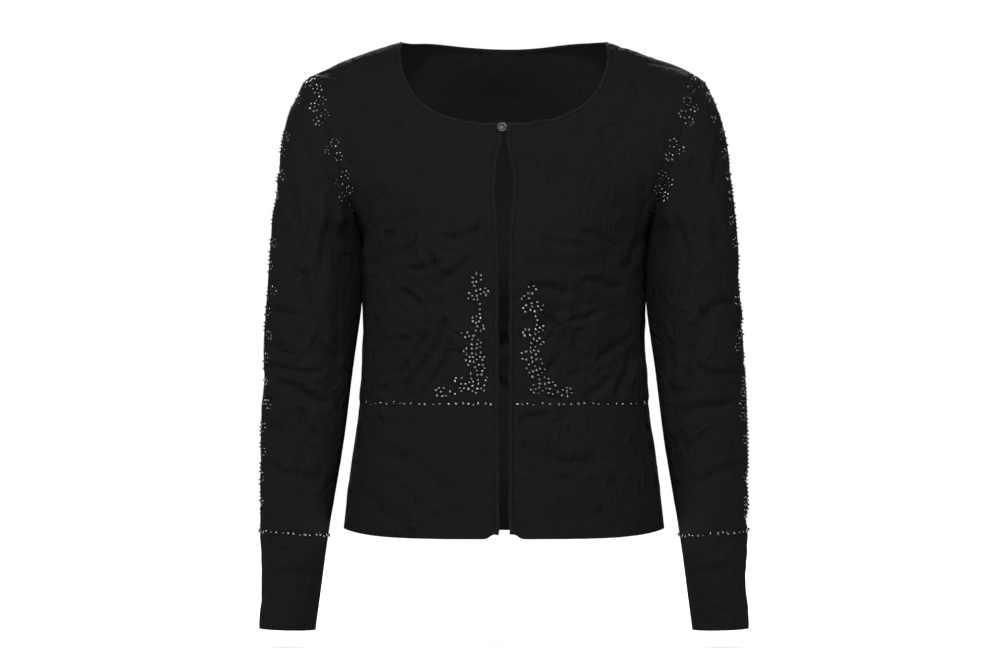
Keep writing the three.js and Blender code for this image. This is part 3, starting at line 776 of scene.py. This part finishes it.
# The bound edges follow the cloth's own edges.
neck_rows = [j for j, level in enumerate(UPPER) if level >= 3]
for word, side in (("left", 1), ("right", -1)):
    upper, band = fronts[side]
    rows = [j for j, level in enumerate(UPPER) if level < 2.99]
    edge = np.concatenate([band[:, 0], upper[rows, 0]])
    inner = np.concatenate([band[:, 2], upper[rows, 2]])
    away = edge - inner
    away[:, 2] = 0
    points = swept(smoothed(edge), smoothed(away, 8), bar_profile(EDGE_BAND_WIDE), side)
    bar(f"bound_edge_{word}", f"edge_band_{word}", points, side > 0, trim_cloth)

# How far the neck's binding laps over the cloth's edge, and how much wider that makes it
NECK_BINDING = {"over": 0.35, "wider": 0.6}
neck_edge, neck_away = [], []
for side in (1, -1):
    upper = fronts[side][0]
    start = upper[neck_rows[0], 0].copy()
    xs = np.linspace(NECK_GAP_HALF, abs(start[0]) - 1, 4)
    half_edge = [(x * side, start[1], start[2]) for x in xs]
    half_away = [(0, 0.45, 1)] * 4
    half_edge += list(upper[neck_rows[1:], 0])
    half_away += list(upper[neck_rows[1:], 0] - upper[neck_rows[1:], 3])
    back = backs["back"][0 if side > 0 else 1]
    for j in neck_rows[-2:1:-1]:
        half_edge.append(back[j, 0])
        inside = back[max(j - 1, neck_rows[0]), 2]
        half_away.append(back[j, 0] - inside)
    if side > 0:
        half_edge.append(back[neck_rows[0], 0])
        half_away.append((0, -0.5, 1))
        neck_edge, neck_away = half_edge, half_away
    else:
        neck_edge += half_edge[::-1]
        neck_away += half_away[::-1]
neck_profile = bar_profile(NECK_BINDING_WIDE + NECK_BINDING["wider"], -NECK_BINDING["over"])
points = swept(smoothed(neck_edge, 3), smoothed(neck_away, 4), neck_profile, 1)
bar("bound_neck", "neck_binding", points, True, trim_cloth)

# The button hangs on its shank below the binding, and the thread loop goes round the shank.
BUTTON = {"x": -2.2, "z": -96.2}
LOOP = {"thread": 0.5, "out": 1.45, "turn": 2.0, "end": 9.0}
lower = torso_at(row_of(2.97, -1), np.array(0.0))
top = torso_at(row_of(3, -1), np.array(0.0))
rise = (top - lower) / np.linalg.norm(top - lower)
out = np.array([0, -rise[2], rise[1]])
button_place = top + rise * (BUTTON["z"] - top[2]) / rise[2]
button_place[0] = BUTTON["x"]


def lathe(outline, place, out, up, steps=48):
    """Points round an outline of [radius, out] turned about the direction out."""
    side = np.cross(up, out)
    turns = np.linspace(0, 2 * math.pi, steps + 1)
    ring = np.outer(np.cos(turns), side) + np.outer(np.sin(turns), up)
    return np.array([place + ring * r + out * h for r, h in outline])


def turned_piece(name, outline, mat, node):
    bm = grid_mesh(lathe(outline, button_place, out, rise), False, closed=True)
    bmesh.ops.remove_doubles(bm, verts=bm.verts, dist=1e-6)
    bmesh.ops.recalc_face_normals(bm, faces=bm.faces)
    o = object_of(bm, name, mat)
    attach(o, "root")
    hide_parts(node)


BUTTON_BODY = [(0, 0.95), (1.1, 0.95), (1.1, 2.3), (3.6, 2.35), (4.5, 2.75), (4.6, 3.1), (0, 3.1)]
BUTTON_RIM = [
    (4.62 + 0.42 * math.cos(t), 3.25 + 0.55 * math.sin(t)) for t in np.linspace(0, 2 * math.pi, 13)
]
BUTTON_DOME = [(0, 3.15)] + [
    (4.1 * math.cos(t), 3.2 + 1.3 * math.sin(t)) for t in np.linspace(0, math.pi / 2, 9)
]
turned_piece("button_body", BUTTON_BODY, jet, "button")
turned_piece("button_rim", BUTTON_RIM, metal, "button")
turned_piece("button_dome", BUTTON_DOME, pearl, "button")

loop_line = [(x, LOOP["turn"]) for x in np.linspace(LOOP["end"], 1, 6)]
loop_line += [
    (LOOP["turn"] * math.cos(math.pi * t), LOOP["turn"] * math.sin(math.pi * t))
    for t in np.linspace(0.5, 1.5, 13)
]
loop_line += [(x, -LOOP["turn"]) for x in np.linspace(1, LOOP["end"], 6)]
loop_places = [
    button_place + out * LOOP["out"] + np.array([x, 0, 0]) + rise * z for x, z in loop_line
]
loop_round = [
    (LOOP["thread"] * math.cos(t), LOOP["thread"] * math.sin(t))
    for t in np.linspace(0, 2 * math.pi, 9)[:-1]
]
loop_across = np.cross(np.gradient(np.array(loop_places), axis=0), out)
points = swept(loop_places, loop_across, loop_round, 1)
bar("loop", "button_loop", points, False, thread)


# Beads. Their places are on the cloth itself, found by looking along Y or for the nearest point.
def surface_tree(names):
    verts, faces = [], []
    for name in names:
        mesh = bpy.data.objects[name].data
        start = len(verts)
        verts += [v.co.copy() for v in mesh.vertices]
        faces += [[start + i for i in p.vertices] for p in mesh.polygons]
    return BVHTree.FromPolygons(verts, faces)


SHELLS = [o.name for o in bpy.data.objects if o.name.startswith("cloth_")]
whole = surface_tree(SHELLS)


def seen_from(face, x, z):
    """The place on the cloth that faces the front (-1) or the back (1) at x, z."""
    hit, normal, _, _ = whole.ray_cast(
        Vector((x * MM, face * 0.5, z * MM)), Vector((0, -face, 0))
    )
    return (hit, normal) if hit is not None else None


def nearest(point):
    hit, normal, _, _ = whole.find_nearest(Vector(point) * MM)
    return hit, normal


BEAD_RADIUS = 1.6
BEAD_APART = 3.6
BEAD_FLATNESS = 0.78
BEAD_PROUD = 0.6


class Beads:
    """A group of beads that are one mesh, none nearer to another than apart millimetres."""

    def __init__(self, name, seed, apart=BEAD_APART):
        self.name, self.apart = name, apart
        self.rng = random.Random(seed)
        self.bm = bmesh.new()
        self.places = []

    def put(self, found, radius=BEAD_RADIUS):
        if found is None:
            return
        hit, normal = found
        if normal.length < 0.5:
            return
        if any((hit - p).length < self.apart * MM for p in self.places):
            return
        self.places.append(hit.copy())
        r = radius * self.rng.uniform(0.88, 1.12) * MM
        lean = Vector([self.rng.uniform(-0.25, 0.25) for _ in range(3)])
        turn = (normal + lean).to_track_quat("Z", "Y").to_matrix().to_4x4()
        flat = Matrix.Diagonal((1, 1, BEAD_FLATNESS, 1))
        place = Matrix.Translation(hit + normal * r * BEAD_PROUD) @ turn @ flat
        bmesh.ops.create_icosphere(self.bm, subdivisions=2, radius=r, matrix=place)

    def finish(self):
        o = object_of(self.bm, self.name, bead_glass)
        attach(o, "root")


def floret(rng, centre, radius, petals):
    """Places round a small flower, a little uneven, and one in its middle."""
    x, z = centre
    start = rng.uniform(0, 6)
    found = [(x, z)] if radius > 4.2 else []
    for k in range(petals):
        t = start + 2 * math.pi * k / petals + rng.uniform(-0.16, 0.16)
        r = radius * rng.uniform(0.9, 1.12)
        found.append((x + r * math.cos(t), z + r * math.sin(t)))
    return found


def vine(rng, foot, tip, sway, waves, sprigs, pitch=4.6):
    """Places of a climbing vine in a flat frame: a swaying stem with sprigs that end in flowers."""
    foot, tip = np.array(foot, float), np.array(tip, float)
    run = tip - foot
    long = np.hypot(*run)
    ahead = run / long
    aside = np.array([ahead[1], -ahead[0]])
    found = []

    def stem(t):
        return foot + run * t + aside * sway * math.sin(2 * math.pi * waves * t + 0.6)

    for t in np.linspace(0, 1, int(long / pitch) + 1):
        found.append(tuple(stem(t) + np.array([rng.uniform(-0.7, 0.7), rng.uniform(-0.7, 0.7)])))
    for t, way, reach, petals in sprigs:
        start = stem(t)
        turn = way * math.radians(rng.uniform(52, 74))
        heading = ahead * math.cos(turn) + aside * math.sin(turn)
        steps = int(reach / pitch)
        for k in range(1, steps + 1):
            found.append(tuple(start + heading * pitch * k))
        found += floret(rng, start + heading * (reach + 3.6), rng.uniform(3.4, 4.6), petals)
    found += floret(rng, tip + ahead * 4.5, 4.2, 5)
    return found


# The sprigs of each vine: how far up the stem, way (1 to its right), reach in mm, petals
SPRIGS = {
    -1: [
        (0.0, -1, 11, 6), (0.02, 1, 1, 5), (0.07, -1, 3, 5), (0.11, 1, 3, 6), (0.16, -1, 1, 5),
        (0.21, 1, 2, 5), (0.26, -1, 2, 5), (0.3, 1, 4, 5), (0.36, -1, 1, 5), (0.41, 1, 3, 6),
        (0.5, -1, 6, 6), (0.58, 1, 1, 5), (0.64, -1, 1, 5), (0.85, -1, 3, 5), (0.88, 1, 5, 5),
    ],
    1: [
        (0.0, 1, 12, 6), (0.03, -1, 1, 5), (0.08, 1, 4, 5), (0.12, -1, 2, 6), (0.18, 1, 1, 5),
        (0.23, -1, 3, 5), (0.29, 1, 2, 5), (0.35, -1, 4, 5), (0.4, 1, 1, 5), (0.47, 1, 7, 6),
        (0.56, -1, 5, 6), (0.63, 1, 1, 5), (0.82, -1, 5, 5), (0.84, 1, 2, 5), (0.93, -1, 1, 5),
    ],
}
# Bead clusters down each armhole seam: the middle (1 shoulder tip, 0 underarm), florets
ARMHOLE_CLUSTERS = [(0.86, 3), (0.68, 4), (0.51, 3), (0.36, 4)]
CLUSTERS_ON = {-1: 4, 1: 2}
CLUSTER = {"apart": 7.5, "lean": 0.3, "aside": 4.6, "radius": 1.25}
ARMHOLE_TAIL = (0.3, 0.27, 0.235)
ARMHOLE_APART = 3.3
# Where each vine starts and ends, and how it sways
VINES = {-1: ((-31, -374), (-28, -258)), 1: ((34, -374), (29, -270))}
VINE_SWAY = 4
VINE_WAVES = 1.6
# The branch at each vine's foot: where it starts, its beads and step, and its two florets
BRANCH = {"x": 37, "z": -370, "beads": 6, "step": 4.7, "fall": 1.3, "sway": 2.2}
BRANCH_FLORETS = (((47, -361), 4.0, 5), ((66, -373), 5.0, 6))
# The steps between beads along the waist and the cuffs, and where the waist row starts and ends
WAIST_STEPS = (5.2, 6.4, 7.6, 9.5)
WAIST_FROM = {-1: 14.0, 1: 3.0}
WAIST_TO = 151
WAIST_LIFT = {-1: 1.2, 1: 0}
CUFF_STEPS = (5.2, 6.2, 7.4)
CUFF_ROUND = 220
CUFF_TO = 0.985
# The line down a sleeve: its places along and round, and the size of its florets
SLEEVE_LINE = {"start": 0.03, "end": 0.815, "places": 116, "turn": 0.474, "sway": 0.012}
SLEEVE_FLORET = {"asides": (-0.056, -0.044, 0.05), "round": 0.017, "along": 0.0072}

for side, word in ((-1, "right"), (1, "left")):
    beads = Beads(f"beads_vine_{word}", 40 + side)
    foot, tip = VINES[side]
    for x, z in vine(beads.rng, foot, tip, VINE_SWAY, VINE_WAVES, SPRIGS[side]):
        if side * x > 13 and z > WAIST_SEAM_Z + 3:
            beads.put(seen_from(-1, x, z))
    branch = []
    for k in range(BRANCH["beads"]):
        z = BRANCH["z"] - BRANCH["fall"] * k + BRANCH["sway"] * math.sin(k * 1.9)
        branch.append((side * (BRANCH["x"] + BRANCH["step"] * k), z))
    for (x, z), radius, petals in BRANCH_FLORETS:
        branch += floret(beads.rng, (side * x, z), radius, petals)
    for x, z in branch:
        beads.put(seen_from(-1, x, z))
    beads.finish()

    seam = Beads(f"beads_waist_{word}", 60 + side)
    for face in (-1, 1):
        x = WAIST_FROM[face]
        while x < WAIST_TO:
            z = WAIST_SEAM_Z + WAIST_LIFT[face] + seam.rng.uniform(-0.8, 0.8)
            seam.put(seen_from(face, side * x, z))
            x += seam.rng.choice(WAIST_STEPS)
    seam.finish()

    arm = Beads(f"beads_armhole_{word}", 80 + side, apart=ARMHOLE_APART)
    for face in (-1, 1):
        for middle, florets in ARMHOLE_CLUSTERS[: CLUSTERS_ON[face]]:
            for k in range(florets):
                x, _, z = armhole(middle, face)
                up = CLUSTER["apart"] * ((florets - 1) / 2 - k)
                z += up
                x += CLUSTER["lean"] * up + (CLUSTER["aside"] if k % 2 else -CLUSTER["aside"])
                for fx, fz in floret(arm.rng, (x, z), arm.rng.uniform(3.9, 4.7), 6):
                    arm.put(seen_from(face, side * fx, fz), CLUSTER["radius"])
        for t in ARMHOLE_TAIL if face < 0 else ():
            x, _, z = armhole(t, face)
            arm.put(seen_from(face, side * (x + arm.rng.uniform(-2, 2)), z), 1.1)
    arm.finish()

    line = Beads(f"beads_sleeve_{word}", 100 + side)
    ats = np.linspace(SLEEVE_LINE["start"], SLEEVE_LINE["end"], SLEEVE_LINE["places"])
    for k, at in enumerate(ats):
        sparse = 0.45 if at < 0.42 or side < 0 else 0.15
        turn = SLEEVE_LINE["turn"] + SLEEVE_LINE["sway"] * math.sin(k * 0.42)
        if line.rng.random() > sparse:
            line.put(nearest(side_of(sleeve_ring([turn], at)[0], side)), 1.15)
        if k % (3 if sparse < 0.3 else 6) == 2:
            middle = turn + line.rng.choice(SLEEVE_FLORET["asides"])
            for p in range(6):
                c, s = math.cos(p * math.pi / 3), math.sin(p * math.pi / 3)
                round_at = middle + SLEEVE_FLORET["round"] * c
                place = sleeve_ring([round_at], at + SLEEVE_FLORET["along"] * s)[0]
                line.put(nearest(side_of(place, side)), 1.2)
    line.finish()

    cuff = Beads(f"beads_cuff_{word}", 120 + side)
    turn = 0.0
    while turn < CUFF_TO:
        at = CUFF_SEAM_AT + cuff.rng.uniform(-0.0015, 0.0015)
        cuff.put(nearest(side_of(sleeve_ring([turn], at)[0], side)))
        turn += cuff.rng.choice(CUFF_STEPS) / CUFF_ROUND
    cuff.finish()

# The camera is level, 5 m in front, and the picture is 1.0786 m wide at the shoulders.
CAMERA_AWAY = 5.0
CAMERA_Z = -0.3146
PICTURE_WIDE = 1.0786
SENSOR_WIDE = 36
camera_data = bpy.data.cameras.new("camera")
camera = bpy.data.objects.new("camera", camera_data)
bpy.context.scene.collection.objects.link(camera)
camera.location = (0, -CAMERA_AWAY, CAMERA_Z)
camera.rotation_euler = (math.radians(90), 0, 0)
camera_data.sensor_width = SENSOR_WIDE
camera_data.lens = SENSOR_WIDE * CAMERA_AWAY / PICTURE_WIDE
camera_data.clip_end = 50
bpy.context.scene.camera = camera


def area_light(name, place, target, size, power):
    data = bpy.data.lights.new(name, "AREA")
    data.shape = "RECTANGLE"
    data.size, data.size_y = size
    data.energy = power
    o = bpy.data.objects.new(name, data)
    bpy.context.scene.collection.objects.link(o)
    o.location = place
    direction = Vector(target) - Vector(place)
    o.rotation_euler = direction.to_track_quat("-Z", "Y").to_euler()
    o.visible_camera = False


# The camera sees a white room. Soft lights stand before and behind the garment, at both sides and
# above, and hem_bounce is the light that a pale floor sends up inside the hem.
world = bpy.data.worlds.new("studio")
bpy.context.scene.world = world
world.use_nodes = True
background = world.node_tree.nodes["Background"]
background.inputs["Color"].default_value = (1, 1, 1, 1)
background.inputs["Strength"].default_value = 1.0
dimmer = add(world.node_tree, "ShaderNodeBackground")
dimmer.inputs["Color"].default_value = (1, 1, 1, 1)
dimmer.inputs["Strength"].default_value = 0.015
rays = add(world.node_tree, "ShaderNodeLightPath")
choice = add(world.node_tree, "ShaderNodeMixShader")
world.node_tree.links.new(rays.outputs["Is Camera Ray"], choice.inputs[0])
world.node_tree.links.new(dimmer.outputs[0], choice.inputs[1])
world.node_tree.links.new(background.outputs[0], choice.inputs[2])
world.node_tree.links.new(choice.outputs[0], world.node_tree.nodes["World Output"].inputs[0])
GARMENT_MIDDLE = (0, 0, -0.3)
area_light("front_box", (0, -4.9, -0.2), GARMENT_MIDDLE, (0.14, 0.9), 26)
area_light("left_box", (-3.5, -2.5, 0.3), GARMENT_MIDDLE, (0.3, 0.9), 42)
area_light("right_box", (3.5, -2.5, 0.3), GARMENT_MIDDLE, (0.3, 0.9), 38)
area_light("upper_box", (-0.35, -2.3, 2.0), GARMENT_MIDDLE, (0.6, 0.6), 70)
area_light("hem_bounce", (0, -0.085, -0.56), (0, -0.2, -0.1), (0.2, 0.04), 0.72)
area_light("back_box", (0, 1.6, 1.0), (0, 0, -0.03), (1.4, 0.3), 85)

bm = bmesh.new()
bmesh.ops.create_grid(bm, x_segments=1, y_segments=1, size=4)
floor_paint, floor_surface = material("floor_paint")
floor_surface.inputs["Base Color"].default_value = (0.5, 0.5, 0.5, 1)
floor_surface.inputs["Roughness"].default_value = 0.9
floor_surface.inputs["Emission Color"].default_value = (1, 1, 1, 1)
# The floor also glows for camera rays alone, as painted light: the glow grows away from the middle so
# the floor reads white where the lamps reach less, and stays lower near the garment so its shadows
# show.
floor_rays = add(floor_paint.node_tree, "ShaderNodeLightPath")
floor_place = add(floor_paint.node_tree, "ShaderNodeTexCoord")
floor_reach = add(floor_paint.node_tree, "ShaderNodeVectorMath", operation="LENGTH")
painted_glow_by_reach = add(floor_paint.node_tree, "ShaderNodeMapRange")
painted_glow_by_reach.inputs["From Min"].default_value = 0.25
painted_glow_by_reach.inputs["From Max"].default_value = 1.1
painted_glow_by_reach.inputs["To Min"].default_value = 0.76
painted_glow_by_reach.inputs["To Max"].default_value = 1.05
glow = add(floor_paint.node_tree, "ShaderNodeMath", operation="MULTIPLY")
floor_link = floor_paint.node_tree.links.new
floor_link(floor_place.outputs["Object"], floor_reach.inputs[0])
floor_link(floor_reach.outputs["Value"], painted_glow_by_reach.inputs["Value"])
floor_link(floor_rays.outputs["Is Camera Ray"], glow.inputs[0])
floor_link(painted_glow_by_reach.outputs["Result"], glow.inputs[1])
floor_link(glow.outputs[0], floor_surface.inputs["Emission Strength"])
# The floor is about 18 mm below the cuffs.
FLOOR_Z = -0.645
floor = object_of(bm, "floor", floor_paint)
floor.location = (0, 0, FLOOR_Z)

scene = bpy.context.scene
scene.view_settings.view_transform = "Standard"
scene.view_settings.look = "None"
